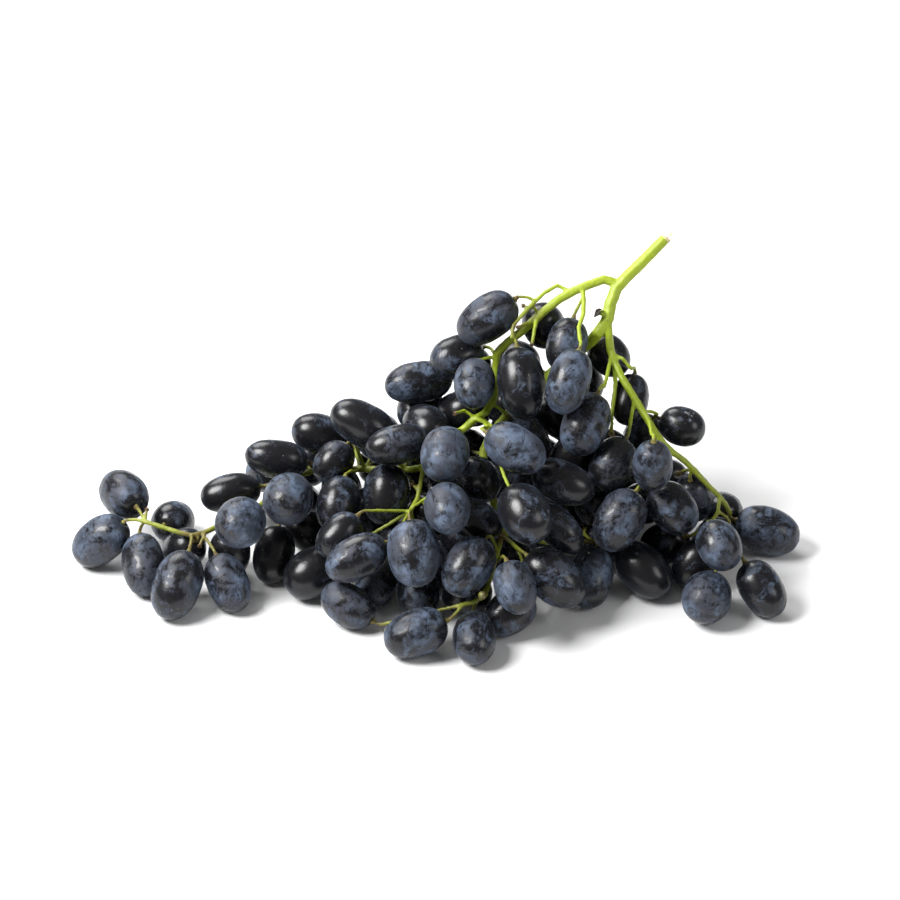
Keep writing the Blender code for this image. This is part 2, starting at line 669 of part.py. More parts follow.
def main():
    for obj in list(bpy.data.objects):
        bpy.data.objects.remove(obj)
    skin = new_material("grape_skin", (0.022, 0.027, 0.042), 0.38)
    green = new_material("grape_stem", (0.42, 0.50, 0.06), 0.55)
    routes = skeleton()
    bunch = Bunch(routes)
    settle(bunch, MOST_NODES - 1 - bunch.outer)
    stem = build_stem(bunch, routes, green)
    berries = []
    for n in range(bunch.outer):
        size = bunch.width[n], bunch.length[n]
        berry = berry_object(bunch.names[n], bunch.at[n], bunch.axis[n], *size, skin)
        bpy.context.view_layer.update()
        if bunch.lies[n]:
            berry.location.z -= min((berry.matrix_world @ vert.co).z for vert in berry.data.vertices)
        berries.append(berry)
    for number, members in enumerate(bunch.groups, 1):
        berries.append(build_group(f"berries_inner_{number}", bunch, members, skin))
    # The origin goes on the table under the middle of the bunch.
    bpy.context.view_layer.update()
    corners = [obj.matrix_world @ vert.co for obj in [stem, *berries] for vert in obj.data.vertices]
    for k in range(2):
        middle = (min(corner[k] for corner in corners) + max(corner[k] for corner in corners)) / 2
        for obj in [stem, *berries]:
            obj.location[k] -= middle
    bpy.context.view_layer.update()


main()
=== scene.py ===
"""The looks of a bunch of dark oval grapes: bloomed berries on a branching green stem, on a pale table.

Every berry is measured from its own solid in the frame, so a berry's place, size and way of pointing
come from there. Laid out as an add-on: each operator makes one piece or one group of like pieces.
"""

import math

import bmesh
import bpy
import numpy as np
from bpy.props import FloatProperty, FloatVectorProperty, PointerProperty
from mathutils import Matrix, Vector, noise
from mathutils.kdtree import KDTree


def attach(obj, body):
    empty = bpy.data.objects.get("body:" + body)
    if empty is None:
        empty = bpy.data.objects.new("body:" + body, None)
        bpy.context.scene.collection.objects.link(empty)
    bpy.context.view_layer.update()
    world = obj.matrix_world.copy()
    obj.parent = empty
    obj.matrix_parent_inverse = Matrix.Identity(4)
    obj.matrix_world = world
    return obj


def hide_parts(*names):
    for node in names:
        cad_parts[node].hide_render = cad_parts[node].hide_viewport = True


bl_info = {
    "name": "Bunch of Grapes",
    "version": (1, 0, 0),
    "blender": (4, 5, 0),
    "location": "View3D > Sidebar > Grapes",
    "description": "Builds the berries, stem and stage of a bunch of dark grapes around its solids",
    "category": "Add Mesh",
}

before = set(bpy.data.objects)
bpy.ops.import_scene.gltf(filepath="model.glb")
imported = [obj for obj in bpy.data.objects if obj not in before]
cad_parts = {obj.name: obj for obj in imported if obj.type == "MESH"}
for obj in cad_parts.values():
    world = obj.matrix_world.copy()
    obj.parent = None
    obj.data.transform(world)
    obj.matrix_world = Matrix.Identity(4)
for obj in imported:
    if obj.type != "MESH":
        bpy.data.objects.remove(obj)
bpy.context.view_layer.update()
MM = 0.001
SIGHT_ANGLE = math.radians(35.0)  # how far down the eye looks on the bunch's front

# The eye's own axes: to the right, upwards across the line of sight, and towards the eye.
ACROSS = Vector((1.0, 0.0, 0.0))
UPWARDS = Vector((0.0, math.sin(SIGHT_ANGLE), math.cos(SIGHT_ANGLE)))
TOWARDS = Vector((0.0, -math.cos(SIGHT_ANGLE), math.sin(SIGHT_ANGLE)))

# The cut end of the stalk, and small things on the stem, as millimetres across, up across the line
# of sight, and above the table, as the part's own layout gives them.
CUT_END = (77.8, 76.5, 105)
CUT_FROM = (69, 67.5, 98)
STUBS = [
    ((27.2, 45.6, 84), (24.4, 44.3, 85)),
    ((30.4, 43.1, 83), (29.6, 38, 80)),
    ((28.1, 51, 88), (26.4, 52.2, 89)),
    ((5.6, 14.2, 56.5), (1.8, 13.2, 58)),
    ((-45, -7, 25.5), (-45.2, -4.2, 27)),
    ((-88.3, -29.7, 18.5), (-90.5, -34.8, 18.5)),
    ((-110.2, -25.9, 21), (-109.6, -21.5, 22.5)),
    ((-11.2, -15, 31.3), (-13.5, -12.3, 32.5)),
]
BRACT_AT = (54, 49.6, 86)

# How much of some berries the bloom still covers; the others get a random share of it, a smaller one deep inside the
# bunch, where the darker skin is painted shade.
BLOOM_SHARES = {
    "berry_tail_01": 0.65, "berry_tail_02": 0.75, "berry_tail_03": 0.70, "berry_tail_04": 0.60,
    "berry_tail_05": 0.80, "berry_left_01": 0.25, "berry_left_02": 0.90, "berry_left_03": 0.85,
    "berry_left_04": 0.40, "berry_left_05": 0.35, "berry_left_06": 0.30, "berry_left_07": 0.35,
    "berry_left_09": 0.10, "berry_left_10": 0.05, "berry_front_02": 0.95, "berry_front_03": 0.95,
    "berry_front_04": 0.25, "berry_front_06": 0.90, "berry_front_07": 0.70, "berry_front_11": 0.85,
    "berry_front_12": 0.55, "berry_front_13": 0.55, "berry_front_15": 0.85, "berry_front_16": 0.35,
    "berry_front_17": 0.35, "berry_top_04": 0.85, "berry_top_05": 0.30, "berry_top_07": 0.85,
    "berry_right_01": 0.20, "berry_right_02": 0.15, "berry_right_04": 0.80, "berry_right_07": 0.80,
    "berry_right_08": 0.80, "berry_right_10": 0.80, "berry_right_12": 0.05,
}
SHOT_BERRY_AT = (11.6, -52.4, 22)
SHOT_BERRY_FROM = (10.2, -54.5, 16.6)


# ---------------------------------------------------------------- places and shapes


def layout_place(spot):
    """Where a place of the layout is, in metres from the layout's own origin."""
    across, sight, height = spot
    depth = (sight - height * math.cos(SIGHT_ANGLE)) / math.sin(SIGHT_ANGLE)
    return Vector((across, depth, height)) * MM


def place(spot):
    """Where a place of the layout is in the frame, in metres."""
    return layout_place(spot) + layout_shift()


def layout_shift():
    """The way from the layout's origin to the frame's, found from the rim of the stalk's cut end."""
    if "shift" not in known:
        end = layout_place(CUT_END)
        way = (end - layout_place(CUT_FROM)).normalized()
        spots = np.array([vert.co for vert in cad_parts["stem"].data.vertices])
        along = spots @ np.array(way)
        rim = np.unique(spots[along > along.max() - 0.4 * MM].round(6), axis=0)
        known["shift"] = Vector(rim.mean(axis=0)) - end
    return known["shift"]


known = {}


def merged_copy(node):
    """A bmesh of a CAD node's shape with its loose triangles joined up."""
    shape = bmesh.new()
    shape.from_mesh(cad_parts[node].data)
    bmesh.ops.remove_doubles(shape, verts=shape.verts, dist=2e-6)
    return shape


def loose_parts(shape):
    """The faces of each berry of a joined node: they meet only in creases, which are split open."""
    creases = [e for e in shape.edges if e.is_manifold and e.calc_face_angle_signed(0.0) < -0.35]
    bmesh.ops.split_edges(shape, edges=creases)
    left, parts = set(shape.faces), []
    while left:
        first = left.pop()
        part, front = [first], [first]
        while front:
            for edge in front.pop().edges:
                for face in edge.link_faces:
                    if face in left:
                        left.remove(face)
                        part.append(face)
                        front.append(face)
        parts.append(part)
    return parts


def measure_berry(faces, stem_tree):
    """Middle, way to the stem end, half width and half length of a berry, from its faces."""
    areas = np.array([face.calc_area() for face in faces])
    spots = np.array([face.calc_center_median() for face in faces])
    middle = (spots * areas[:, None]).sum(axis=0) / areas.sum()
    away = spots - middle
    spread = (away * areas[:, None]).T @ away
    axis = np.linalg.eigh(spread)[1][:, 2]
    verts = np.array([vert.co for vert in {v for face in faces for v in face.verts}])
    along = (verts - middle) @ axis
    middle = middle + axis * (along.max() + along.min()) / 2
    along = (verts - middle) @ axis
    out = np.linalg.norm((verts - middle) - along[:, None] * axis, axis=1)
    long, wide = along.max(), out.max()
    ends = [stem_tree.find(Vector(middle + side * axis * long))[2] for side in (1, -1)]
    if ends[1] < ends[0]:
        axis = -axis
    return Vector(middle), Vector(axis), float(wide), float(long)


def measured_berries():
    """Every berry of the bunch: its node, middle, way to the stem end, half width and half length."""
    if "berries" not in known:
        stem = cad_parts["stem"].data
        tree = KDTree(len(stem.vertices))
        for number, vert in enumerate(stem.vertices):
            tree.insert(vert.co, number)
        tree.balance()
        berries = []
        for node in sorted(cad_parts):
            if not node.startswith("berr"):
                continue
            shape = merged_copy(node)
            for faces in loose_parts(shape):
                if sum(face.calc_area() for face in faces) > 350 * MM * MM:
                    berries.append((node, *measure_berry(faces, tree)))
            shape.free()
        known["berries"] = berries
    return known["berries"]


def skin_spot(berry, way):
    """Where a way from a berry's middle meets its skin, and the skin's own direction there."""
    _, middle, axis, wide, long = berry
    way = way.normalized()
    along = way.dot(axis)
    out = way - axis * along
    reach = 1.0 / math.sqrt((along / long) ** 2 + out.length_squared / wide ** 2)
    return middle + way * reach, (axis * along / long ** 2 + out / wide ** 2).normalized()


def berry_named(node):
    return next(berry for berry in measured_berries() if berry[0] == node)


# ---------------------------------------------------------------- modelling helpers


def start_fresh():
    if bpy.context.object and bpy.context.object.mode != "OBJECT":
        bpy.ops.object.mode_set(mode="OBJECT")
    bpy.ops.object.select_all(action="DESELECT")


def only(obj):
    start_fresh()
    obj.select_set(True)
    bpy.context.view_layer.objects.active = obj
    return obj


def select_where(obj, wanted):
    """In edit mode, selects the vertices whose place passes the test."""
    bpy.ops.mesh.select_all(action="DESELECT")
    shape = bmesh.from_edit_mesh(obj.data)
    for vert in shape.verts:
        vert.select = wanted(vert.co)
    shape.select_flush(True)
    bmesh.update_edit_mesh(obj.data)


def turned_to(axis, spin=0.0):
    """The turn that takes +Z to an axis, after a spin about it."""
    return Vector(axis).to_track_quat("Z", "Y").to_matrix().to_4x4() @ Matrix.Rotation(spin, 4, "Z")


def copy_of(pattern, name, matrix):
    """A copy with its own mesh, its place in its vertices."""
    copy = pattern.copy()
    copy.data = pattern.data.copy()
    copy.name = copy.data.name = name
    copy.data.transform(matrix)
    bpy.context.scene.collection.objects.link(copy)
    return copy


def joined(name, pieces):
    start_fresh()
    for piece in pieces:
        piece.select_set(True)
    bpy.context.view_layer.objects.active = pieces[0]
    bpy.ops.object.join()
    whole = bpy.context.object
    whole.name = whole.data.name = name
    return whole


def finish_piece(piece, material, slot, *nodes):
    """Smooth shading, finish, body and the CAD nodes that a piece stands for."""
    only(piece)
    bpy.ops.object.transform_apply(location=True, rotation=True, scale=True)
    bpy.ops.object.shade_smooth()
    piece.data.materials.clear()
    piece.data.materials.append(material)
    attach(piece, "root")
    if nodes:
        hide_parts(*nodes)


def set_attribute(mesh, name, values):
    layer = mesh.attributes.get(name) or mesh.attributes.new(name, "FLOAT", "POINT")
    layer.data.foreach_set("value", np.asarray(values, np.float32))


def corners(mesh):
    spots = np.empty(len(mesh.vertices) * 3)
    mesh.vertices.foreach_get("co", spots)
    return spots.reshape(-1, 3)


# ---------------------------------------------------------------- materials


class Finish:
    """Builds one node material, a node at a time."""

    def __init__(self, name):
        self.material = bpy.data.materials.new(name)
        self.material.use_nodes = True
        self.tree = self.material.node_tree
        self.shader = self.tree.nodes["Principled BSDF"]

    def node(self, kind, **settings):
        made = self.tree.nodes.new(kind)
        for key, value in settings.items():
            if key in made.inputs:
                made.inputs[key].default_value = value
            else:
                setattr(made, key, value)
        return made

    def link(self, out, to):
        self.tree.links.new(out, to)

    def place(self):
        return self.node("ShaderNodeTexCoord").outputs["Object"]

    def noise(self, size, detail=3.0, roughness=0.5, distortion=0.0, at=None, stretch=None):
        """Noise whose patches are about this many millimetres across."""
        made = self.node("ShaderNodeTexNoise", Scale=1000.0 / size, Detail=detail, Distortion=distortion)
        made.inputs["Roughness"].default_value = roughness
        at = at or self.place()
        if stretch:
            mapping = self.node("ShaderNodeMapping", Rotation=stretch[0], Scale=stretch[1])
            self.link(at, mapping.inputs["Vector"])
            at = mapping.outputs["Vector"]
        self.link(at, made.inputs["Vector"])
        return made.outputs["Fac"]

    def ramp(self, value, low, high, bottom=0.0, top=1.0):
        """Turns low to high into bottom to top, smoothly."""
        made = self.node("ShaderNodeMapRange", interpolation_type="SMOOTHSTEP")
        made.inputs["From Min"].default_value = low
        made.inputs["From Max"].default_value = high
        made.inputs["To Min"].default_value = bottom
        made.inputs["To Max"].default_value = top
        self.link(value, made.inputs["Value"])
        return made.outputs["Result"]

    def math(self, operation, first, second=None, clamp=False):
        made = self.node("ShaderNodeMath", operation=operation, use_clamp=clamp)
        for number, value in enumerate((first, second)):
            if value is None:
                continue
            if isinstance(value, (int, float)):
                made.inputs[number].default_value = value
            else:
                self.link(value, made.inputs[number])
        return made.outputs["Value"]

    def mix(self, factor, first, second):
        made = self.node("ShaderNodeMix", data_type="RGBA")
        colours = [socket for socket in made.inputs if socket.type == "RGBA"]
        for socket, value in ((made.inputs["Factor"], factor), (colours[0], first), (colours[1], second)):
            if isinstance(value, (tuple, list)):
                socket.default_value = (*value[:3], 1.0)
            elif isinstance(value, (int, float)):
                socket.default_value = value
            else:
                self.link(value, socket)
        return [socket for socket in made.outputs if socket.type == "RGBA"][0]

    def attribute(self, name):
        return self.node("ShaderNodeAttribute", attribute_name=name).outputs["Fac"]

    def bump(self, height, strength, distance):
        made = self.node("ShaderNodeBump", Strength=strength, Distance=distance)
        self.link(height, made.inputs["Height"])
        self.link(made.outputs["Normal"], self.shader.inputs["Normal"])


def skin_finish(props):
    """Blue-black skin under a waxy bloom that is mottled, streaked and rubbed away in patches."""
    skin = Finish("grape_skin")
    share = skin.attribute("share")
    along = skin.attribute("along")
    kept = skin.math("SUBTRACT", 1.0, skin.attribute("rub"))
    patches = skin.noise(8.0, 6.0, 0.66, 0.6)
    flecks = skin.noise(1.6, 6.0, 0.75)
    streaks = skin.noise(4.0, 4.0, 0.65, 1.8, stretch=((0.5, 0.3, 0.7), (1.0, 0.22, 1.0)))
    # Where bloom lies: in broad patches, eaten into by fine flecks, by rubbed streaks and at the stalk.
    mottled = skin.math("ADD", patches, skin.math("MULTIPLY", flecks, 0.26))
    mottled = skin.math("ADD", mottled, skin.math("MULTIPLY", share, 0.26))
    broad = skin.ramp(mottled, 0.72, 0.90)
    rubbed = skin.math("MULTIPLY", skin.ramp(streaks, 0.55, 0.60, 1.0, 0.20), kept)
    rubbed = skin.math("MULTIPLY", rubbed, skin.ramp(along, 0.82, 0.93, 1.0, 0.3))
    cover = skin.math("MULTIPLY", broad, rubbed)
    haze = skin.math("MULTIPLY", skin.ramp(flecks, 0.36, 0.60), skin.ramp(share, 0.0, 1.0, 0.25, 0.70))
    deep = skin.mix(skin.noise(14.0, 2.0), tuple(props.skin), tuple(props.skin_warm))
    deep = skin.mix(skin.math("MULTIPLY", haze, kept), deep, tuple(props.haze))
    frosted = skin.mix(skin.ramp(skin.noise(4.5, 6.0, 0.7), 0.38, 0.62), tuple(props.bloom), tuple(props.bloom_pale))
    dusky = skin.ramp(skin.noise(12.0, 2.0), 0.44, 0.60, 0.0, 0.75)
    frosted = skin.mix(dusky, frosted, tuple(props.bloom_dusky))
    colour = skin.mix(skin.math("MULTIPLY", cover, props.bloom_amount), deep, frosted)
    # Pale pores, a few to each berry.
    pores = skin.node("ShaderNodeTexVoronoi", Scale=1000.0 / 3.4)
    skin.link(skin.place(), pores.inputs["Vector"])
    dots = skin.ramp(pores.outputs["Distance"], 0.035, 0.065, 1.0, 0.0)
    chosen = skin.node("ShaderNodeSeparateColor")
    skin.link(pores.outputs["Color"], chosen.inputs["Color"])
    dots = skin.math("MULTIPLY", dots, skin.ramp(chosen.outputs["Red"], 0.62, 0.66))
    colour = skin.mix(skin.math("MULTIPLY", dots, 0.75), colour, (0.34, 0.30, 0.22))
    # The dry speck at the tip, and the browner ring where the stalk holds on.
    ends = skin.math("ADD", skin.ramp(along, -1.007, -1.003, 1.0, 0.0), skin.ramp(along, 0.988, 0.998))
    colour = skin.mix(skin.math("MULTIPLY", ends, 0.8, clamp=True), colour, (0.060, 0.043, 0.026))
    skin.link(colour, skin.shader.inputs["Base Color"])
    rough = skin.ramp(cover, 0.05, 0.80, props.gloss, props.bloom_roughness)
    skin.link(skin.math("ADD", rough, skin.math("MULTIPLY", flecks, 0.08)), skin.shader.inputs["Roughness"])
    skin.shader.inputs["Specular IOR Level"].default_value = 0.38
    skin.shader.inputs["Sheen Weight"].default_value = 0.06
    skin.shader.inputs["Sheen Roughness"].default_value = 0.5
    skin.shader.inputs["Sheen Tint"].default_value = (0.50, 0.70, 1.0, 1.0)
    relief = skin.math("ADD", skin.math("MULTIPLY", cover, 0.3), skin.noise(1.1, 3.0))
    skin.bump(relief, 0.16, 0.0002)
    return skin.material


def stem_finish(props):
    """Fresh yellow-green stalk, greener in patches, browner in flecks and towards the berries, and olive low in the
    bunch as painted shade.
    """
    stalk = Finish("grape_stem")
    fresh = stalk.mix(stalk.noise(9.0, 3.0), tuple(props.green), tuple(props.green_deep))
    lines = stalk.noise(1.2, 3.0, 0.6, stretch=((0.0, 0.7, 0.0), (1.0, 1.0, 0.25)))
    fresh = stalk.mix(stalk.ramp(lines, 0.45, 0.7, 0.0, 0.35), fresh, tuple(props.green_pale))
    old = stalk.mix(stalk.noise(2.5, 3.0), tuple(props.olive), tuple(props.brown))
    flecks = stalk.ramp(stalk.noise(3.0, 5.0, 0.75), 0.60, 0.74, 0.0, 0.6)
    # The dry attribute holds real drying near berries and bare ends, plus painted shade low in the bunch.
    dry = stalk.math("ADD", stalk.attribute("dry"), flecks, clamp=True)
    colour = stalk.mix(dry, fresh, old)
    stalk.link(colour, stalk.shader.inputs["Base Color"])
    stalk.link(stalk.ramp(lines, 0.3, 0.7, 0.36, 0.58), stalk.shader.inputs["Roughness"])
    stalk.shader.inputs["Subsurface Weight"].default_value = 0.12
    stalk.shader.inputs["Subsurface Radius"].default_value = (0.8, 1.0, 0.2)
    stalk.shader.inputs["Subsurface Scale"].default_value = 0.001
    stalk.bump(stalk.math("ADD", lines, stalk.noise(0.5, 2.0)), 0.35, 0.00015)
    return stalk.material


def plain_finish(name, first, second, size, rough, relief=0.3):
    """A finish for dried and torn bits: two colours in patches, with grain."""
    bit = Finish(name)
    patches = bit.noise(size, 4.0, 0.6)
    bit.link(bit.mix(bit.ramp(patches, 0.35, 0.65), first, second), bit.shader.inputs["Base Color"])
    bit.link(bit.ramp(patches, 0.3, 0.7, rough - 0.08, rough + 0.08), bit.shader.inputs["Roughness"])
    bit.bump(bit.noise(size / 4, 3.0), relief, 0.0002)
    return bit.material


def water_finish():
    water = Finish("grape_droplet")
    water.shader.inputs["Base Color"].default_value = (0.9, 0.95, 1.0, 1.0)
    water.shader.inputs["Roughness"].default_value = 0.03
    water.shader.inputs["Transmission Weight"].default_value = 0.9
    water.shader.inputs["IOR"].default_value = 1.33
    water.bump(water.noise(0.8, 1.0), 0.05, 0.0001)
    return water.material


# ---------------------------------------------------------------- sizes and colours a user may change


class GrapeBerryProps(bpy.types.PropertyGroup):
    skin: FloatVectorProperty(
        name="Skin", description="The rubbed skin's colour", subtype="COLOR", size=3, min=0, max=1,
        default=(0.0036, 0.0036, 0.0046))
    skin_warm: FloatVectorProperty(
        name="Warm skin", description="The skin's warmer patches", subtype="COLOR", size=3, min=0, max=1,
        default=(0.0070, 0.0056, 0.0058))
    haze: FloatVectorProperty(
        name="Haze", description="The thin film on bare-looking skin", subtype="COLOR", size=3, min=0, max=1,
        default=(0.0125, 0.0120, 0.0140))
    bloom: FloatVectorProperty(
        name="Bloom", description="The waxy bloom's colour", subtype="COLOR", size=3, min=0, max=1,
        default=(0.024, 0.033, 0.053))
    bloom_pale: FloatVectorProperty(
        name="Pale bloom", description="The bloom where it is thickest", subtype="COLOR", size=3, min=0, max=1,
        default=(0.098, 0.131, 0.195))
    bloom_dusky: FloatVectorProperty(
        name="Dusky bloom", description="The bloom in its greyer patches", subtype="COLOR", size=3, min=0, max=1,
        default=(0.036, 0.037, 0.049))
    bloom_amount: FloatProperty(
        name="Bloom amount", description="How much of the skin the bloom covers", default=0.92, min=0, max=1)
    gloss: FloatProperty(
        name="Gloss", description="Roughness of the rubbed skin", default=0.22, min=0, max=1)
    bloom_roughness: FloatProperty(
        name="Bloom roughness", description="Roughness of the bloom", default=0.52, min=0, max=1)
    uneven: FloatProperty(
        name="Unevenness", description="How far a berry's skin swells and dips", default=0.00028, min=0,
        unit="LENGTH")


class GrapeStemProps(bpy.types.PropertyGroup):
    green: FloatVectorProperty(
        name="Green", description="The fresh stalk's colour", subtype="COLOR", size=3, min=0, max=1,
        default=(0.40, 0.48, 0.024))
    green_deep: FloatVectorProperty(
        name="Deep green", description="The stalk's greener patches", subtype="COLOR", size=3, min=0, max=1,
        default=(0.25, 0.36, 0.014))
    green_pale: FloatVectorProperty(
        name="Pale green", description="The pale lines along the stalk", subtype="COLOR", size=3, min=0, max=1,
        default=(0.52, 0.56, 0.11))
    olive: FloatVectorProperty(
        name="Olive", description="The older stalks' colour", subtype="COLOR", size=3, min=0, max=1,
        default=(0.20, 0.19, 0.034))
    brown: FloatVectorProperty(
        name="Brown", description="The dried stalks' colour", subtype="COLOR", size=3, min=0, max=1,
        default=(0.105, 0.060, 0.024))
    grain: FloatProperty(
        name="Grain", description="Size of the grid that the stem's surface is drawn on", default=0.00043,
        min=0.0002, max=0.002, unit="LENGTH")
    uneven: FloatProperty(
        name="Unevenness", description="How far the bark swells and dips", default=0.00014, min=0, unit="LENGTH")


class GrapeStageProps(bpy.types.PropertyGroup):
    eye_distance: FloatProperty(
        name="Eye distance", description="How far the camera stands off", default=12.0, min=0.5, unit="LENGTH")
    lens: FloatProperty(
        name="Lens", description="The camera's focal length in millimetres", default=1320.0, min=20)
    floor: FloatVectorProperty(
        name="Table", description="The table's colour", subtype="COLOR", size=3, min=0, max=1,
        default=(0.88, 0.88, 0.88))
    key_power: FloatProperty(
        name="Main light", description="Power of the large soft light at the left", default=30.0, min=0)
    back_power: FloatProperty(
        name="Back light", description="Power of the soft light behind", default=12.0, min=0)
    fill_power: FloatProperty(
        name="Second light", description="Power of the weak light at the right", default=4.0, min=0)
    sky: FloatProperty(
        name="Surroundings", description="Brightness of the pale surroundings", default=0.22, min=0)


# ---------------------------------------------------------------- the pieces


class GRAPES_OT_berries(bpy.types.Operator):
    """Makes every berry, each its own size, from one shaped pattern"""

    bl_idname = "grapes.berries"
    bl_label = "Make the berries"

    def execute(self, context):
        props = context.scene.grape_berries
        material = skin_finish(props)
        pattern = self.pattern()
        berries = measured_berries()
        rng = np.random.default_rng(7)
        counts = {}
        middles = np.array([berry[1] for berry in berries])
        for node, middle, axis, wide, long in berries:
            counts[node] = counts.get(node, 0) + 1
            name = f"grape_{node.split('_', 1)[1]}"
            if node.startswith("berries"):
                name += f"_{counts[node]:02d}"
            size = Matrix.Diagonal((wide, wide, long, 1.0))
            turn = Matrix.Translation(middle) @ turned_to(axis, rng.uniform(0, 2 * math.pi))
            grape = copy_of(pattern, name, turn @ size)
            along = (corners(grape.data) - np.array(middle)) @ np.array(axis) / long
            set_attribute(grape.data, "along", along)
            self.uneven(grape, middle, props.uneven)
            set_attribute(grape.data, "rub", self.rub(grape, middle, berries, middles))
            # Berries deep inside the bunch get a smaller bloom share: their darker skin is painted shade.
            share = rng.uniform(0.15, 0.5) if node.startswith("berries") else rng.uniform(0.4, 0.8)
            share = BLOOM_SHARES.get(node, share)
            set_attribute(grape.data, "share", np.full(len(along), share))
            finish_piece(grape, material, "skin", node)
        bpy.data.objects.remove(pattern)
        return {"FINISHED"}

    def pattern(self):
        """A berry of half width and half length 1, stem end up: blunt, with a shallow dimple and a tip speck."""
        start_fresh()
        bpy.ops.mesh.primitive_uv_sphere_add(segments=40, ring_count=28, radius=1.0)
        berry = bpy.context.object
        berry.name = "berry_pattern"
        for vert in berry.data.vertices:
            across = math.hypot(vert.co.x, vert.co.y)
            angle = math.atan2(across, vert.co.z)
            out = abs(math.sin(angle)) ** (2 / 2.2)
            along = math.copysign(abs(math.cos(angle)) ** (2 / 2.2), vert.co.z)
            scale = out / max(across, 1e-9)
            fuller = 1.0 + 0.03 * along  # a touch fuller towards the stem
            vert.co = (vert.co.x * scale * fuller / 1.012, vert.co.y * scale * fuller / 1.012, along)
        bpy.ops.object.mode_set(mode="EDIT")
        # The stem end is drawn in a little round the stalk.
        select_where(berry, lambda spot: spot.z > 0.93 and spot.xy.length < 0.12)
        bpy.ops.transform.translate(value=(0, 0, -0.035), use_proportional_edit=True,
                                    proportional_edit_falloff="SMOOTH", proportional_size=0.3)
        # The tip has a small dry point.
        select_where(berry, lambda spot: spot.z < -0.93 and spot.xy.length < 0.04)
        bpy.ops.transform.translate(value=(0, 0, -0.012))
        bpy.ops.mesh.select_all(action="SELECT")
        bpy.ops.mesh.normals_make_consistent(inside=False)
        bpy.ops.object.mode_set(mode="OBJECT")
        return berry

    def uneven(self, grape, middle, amount):
        """Lets the skin swell and dip, less near the ends."""
        for vert in grape.data.vertices:
            way = (vert.co - middle).normalized()
            swell = noise.noise(vert.co / (9 * MM)) + 0.35 * noise.noise(vert.co / (3.5 * MM) + Vector((7, 3, 1)))
            vert.co += way * (swell - 0.35) * amount

    def rub(self, grape, middle, berries, middles):
        """1 where a neighbour presses and the bloom is gone, else 0."""
        spots = corners(grape.data)
        nearest = np.full(len(spots), 1.0)
        for number in np.nonzero(np.linalg.norm(middles - np.array(middle), axis=1) < 0.03)[0]:
            _, other, axis, wide, long = berries[number]
            if (other - middle).length < 1e-6:
                continue
            reach = long - 0.8 * wide
            for step in (-1.0, -0.5, 0.0, 0.5, 1.0):
                ball = np.array(other) + np.array(axis) * reach * step
                size = wide * (1.0 - 0.18 * step * step)
                nearest = np.minimum(nearest, np.linalg.norm(spots - ball, axis=1) - size)
        return np.clip((1.3 * MM - nearest) / (0.9 * MM), 0, 1)


class GRAPES_OT_stem(bpy.types.Operator):
    """Makes the stalk with all its branches, swollen at the joints and unevenly thick"""

    bl_idname = "grapes.stem"
    bl_label = "Make the stem"

    def execute(self, context):
        props = context.scene.grape_stem
        start_fresh()
        shape = merged_copy("stem")
        mesh = bpy.data.meshes.new("grape_stem")
        shape.to_mesh(mesh)
        shape.free()
        stem = bpy.data.objects.new("grape_stem", mesh)
        context.scene.collection.objects.link(stem)
        only(stem)
        # The surface is redrawn fine and even, which melts the branches together where they meet.
        redraw = stem.modifiers.new("redraw", "REMESH")
        redraw.mode = "VOXEL"
        redraw.voxel_size = props.grain
        # Each smoothing is followed by a little less of the opposite, which rounds without thinning.
        for factor in (0.5, 0.5, 0.5) + (0.5, -0.51) * 45:
            soften = stem.modifiers.new("soften", "SMOOTH")
            soften.factor = factor
            soften.iterations = 1
        bpy.ops.object.convert(target="MESH")
        mesh = stem.data
        spots = corners(mesh)
        normals = np.empty(len(spots) * 3, np.float32)
        mesh.vertices.foreach_get("normal", normals)
        normals = normals.reshape(-1, 3)
        swell = np.array([noise.noise(Vector(spot) / (2.6 * MM)) + 0.5 * noise.noise(Vector(spot) / (1.1 * MM))
                          for spot in spots])
        spots = spots + normals * (0.00012 + swell * props.uneven)[:, None]
        mesh.vertices.foreach_set("co", spots.astype(np.float32).reshape(-1))
        mesh.update()
        # The dry attribute carries real drying and painted shade on the stalks low in the bunch.
        set_attribute(mesh, "dry", self.dryness_and_low_shade(spots))
        finish_piece(stem, stem_finish(props), "stem", "stem")
        return {"FINISHED"}

    def dryness_and_low_shade(self, spots):
        """Stalks turn olive and brown over their last few millimetres before a berry, and at bare ends; low in the
        bunch they are made olive too, as painted shade.
        """
        ends = [middle + axis * long for _, middle, axis, _, long in measured_berries()]
        ends += [place(tip) for _, tip in STUBS]
        dry = np.zeros(len(spots))
        for number, end in enumerate(ends):
            away = np.linalg.norm(spots - np.array(end), axis=1)
            reach = (3.0 + 4.0 * ((number * 7) % 5) / 4.0) * MM
            dry = np.maximum(dry, np.clip(1.15 - away / reach, 0, 1) * (0.45 + 0.5 * ((number * 3) % 4) / 3.0))
        # Painted shade: stalks low and deep in the bunch are made olive, more so the lower they lie.
        low = np.clip((0.055 - spots[:, 2]) / 0.045, 0, 1) * 0.65
        return np.clip(dry + low, 0, 1)


